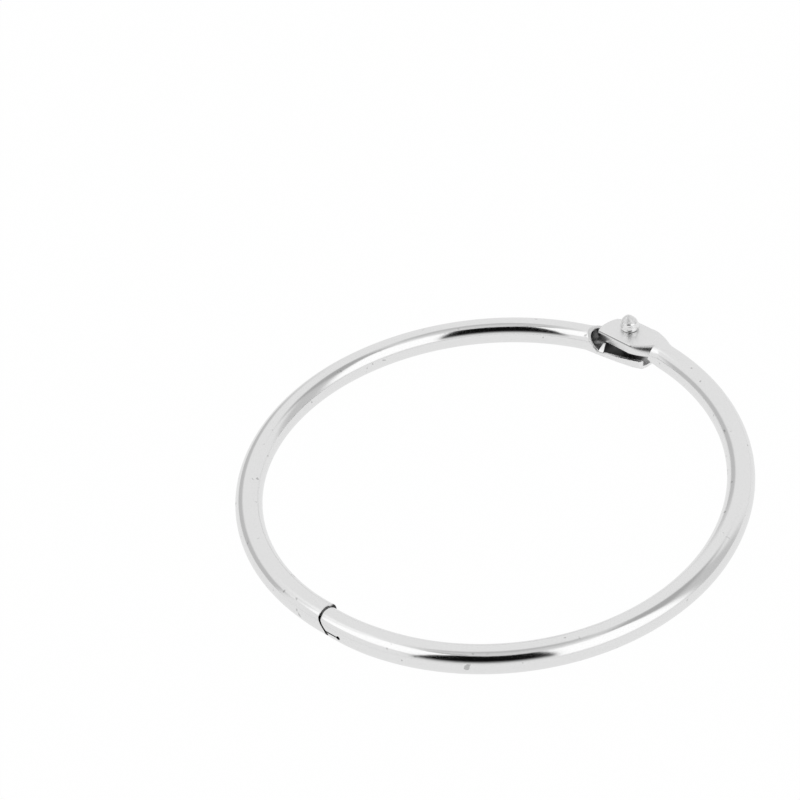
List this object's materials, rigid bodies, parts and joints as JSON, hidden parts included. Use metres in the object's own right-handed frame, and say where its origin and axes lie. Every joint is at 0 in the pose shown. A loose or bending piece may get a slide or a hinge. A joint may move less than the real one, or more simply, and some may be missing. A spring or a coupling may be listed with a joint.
{
  "type": "binder ring",
  "caption": "Hinged loose-leaf binder ring of nickel-plated rolled steel tube: two bent halves on a rivet, closed by a nose that plugs into the open end of the other half",
  "frame": {"origin": "middle of the closed ring's opening, on the middle plane of the tube, which is where the pages hang", "axes": "+Z is the ring's own axis and the hinge's direction, +Y points at the hinge rivet, +X at the plug half"},
  "size_m": [0.076, 0.0785, 0.0067],
  "materials": {
    "nickel_plate": "bright nickel plate on rolled steel sheet, lightly hazed",
    "rivet_steel": "bright nickel plate on a turned steel rivet"
  },
  "bodies": {
    "socket_side": {"socket_half": "nickel_plate", "hinge_rivet": "rivet_steel"},
    "plug_side": {"plug_half": "nickel_plate"}
  },
  "joints": [
    {"name": "hinge", "type": "hinge", "parent": "socket_side", "child": "plug_side", "pos_m": [0.00055, 0.03887, 0], "axis": [0, 0, 1], "range_deg": [0, 140]}
  ]
}
